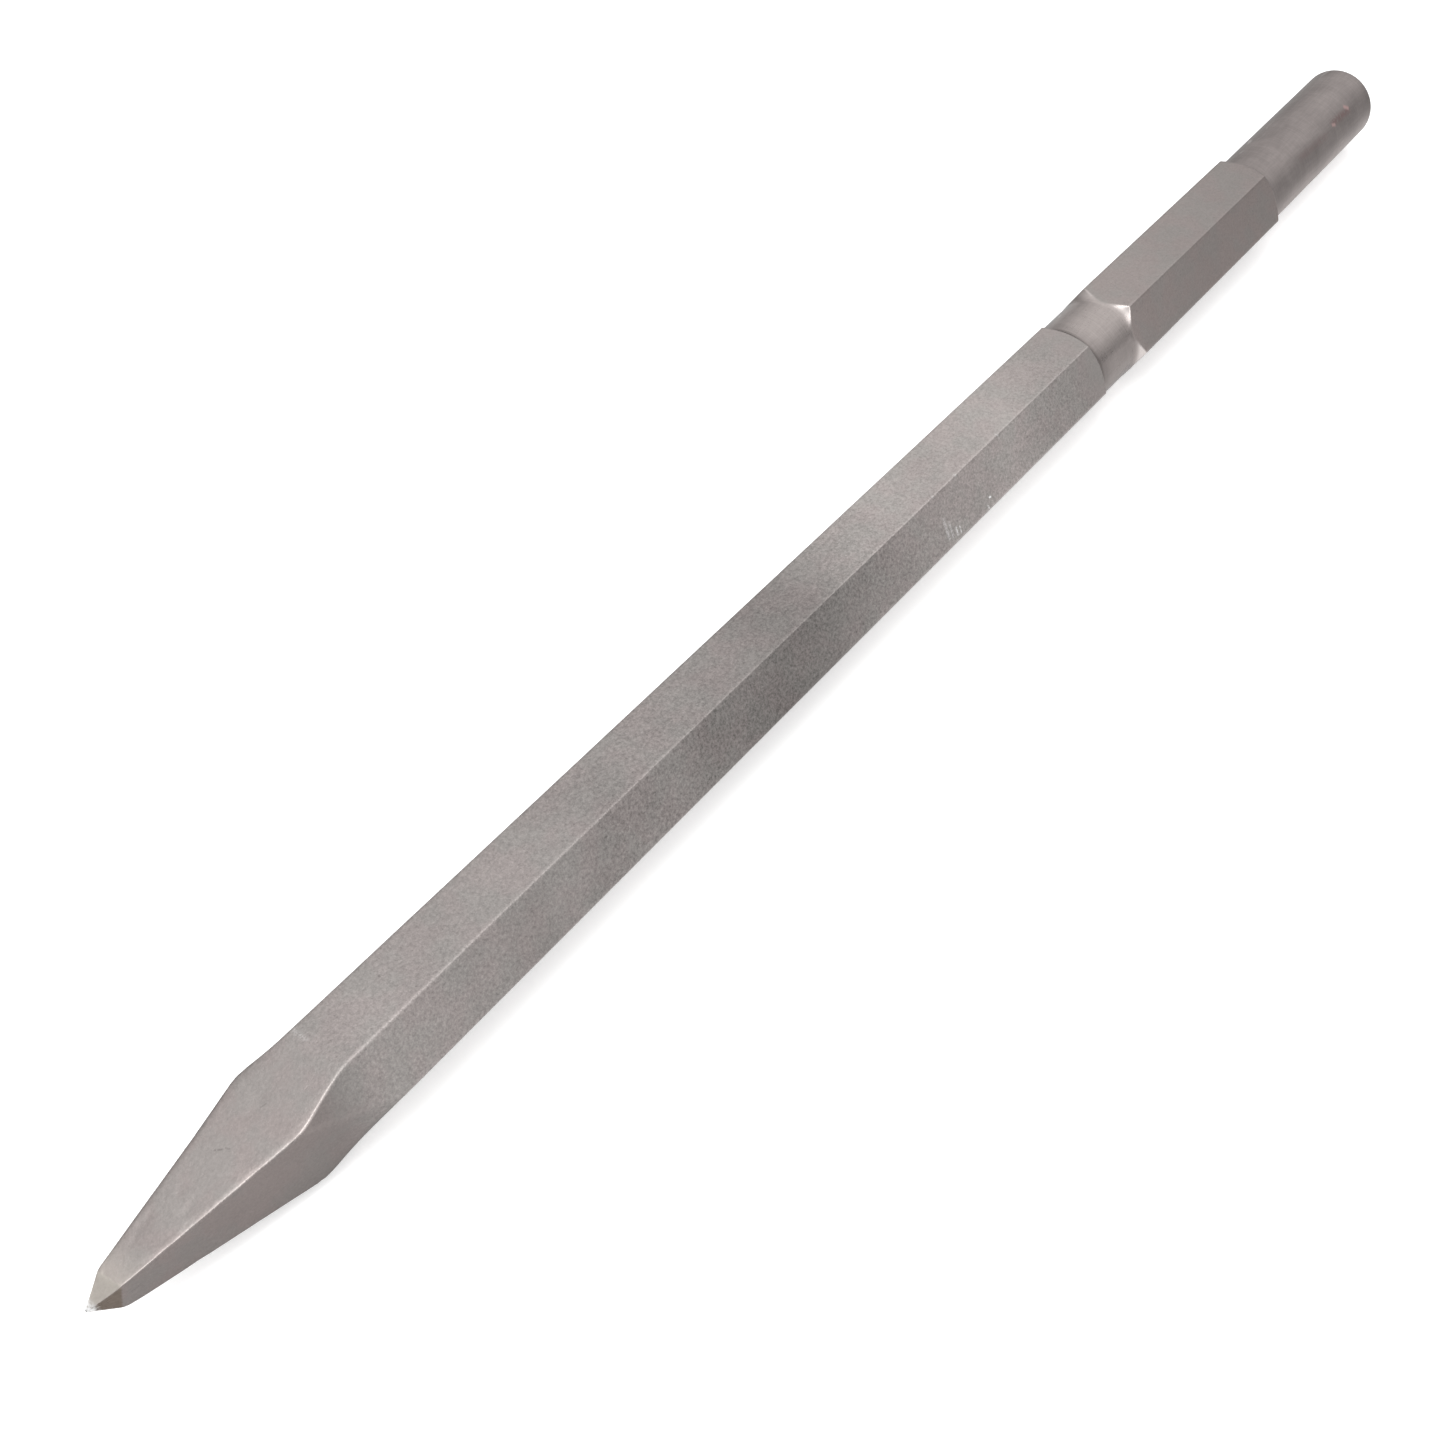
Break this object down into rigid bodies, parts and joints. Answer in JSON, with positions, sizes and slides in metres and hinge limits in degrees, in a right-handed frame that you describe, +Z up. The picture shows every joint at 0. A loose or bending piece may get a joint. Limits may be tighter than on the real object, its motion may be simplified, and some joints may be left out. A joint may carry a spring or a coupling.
{
  "type": "pointed jackhammer chisel",
  "caption": "Pointed breaker chisel forged in one piece from hexagonal bar, with a turned retainer neck, a short hexagonal shank and a round striking spigot.",
  "frame": {"origin": "under the middle of the tool's length, in the plane of the flat that it lies on", "axes": "+X along the tool from the tip towards the striking end, +Z up, square to the flat it lies on, +Y towards a corner of the hexagon"},
  "size_m": [0.6, 0.0346, 0.03],
  "materials": {
    "forged_steel": "shot-blasted, heat-treated alloy steel: matt warm grey with a fine grain, brighter along worn edges and in the turned neck"
  },
  "bodies": {
    "root": {"point_chisel": "forged_steel"}
  },
  "joints": []
}
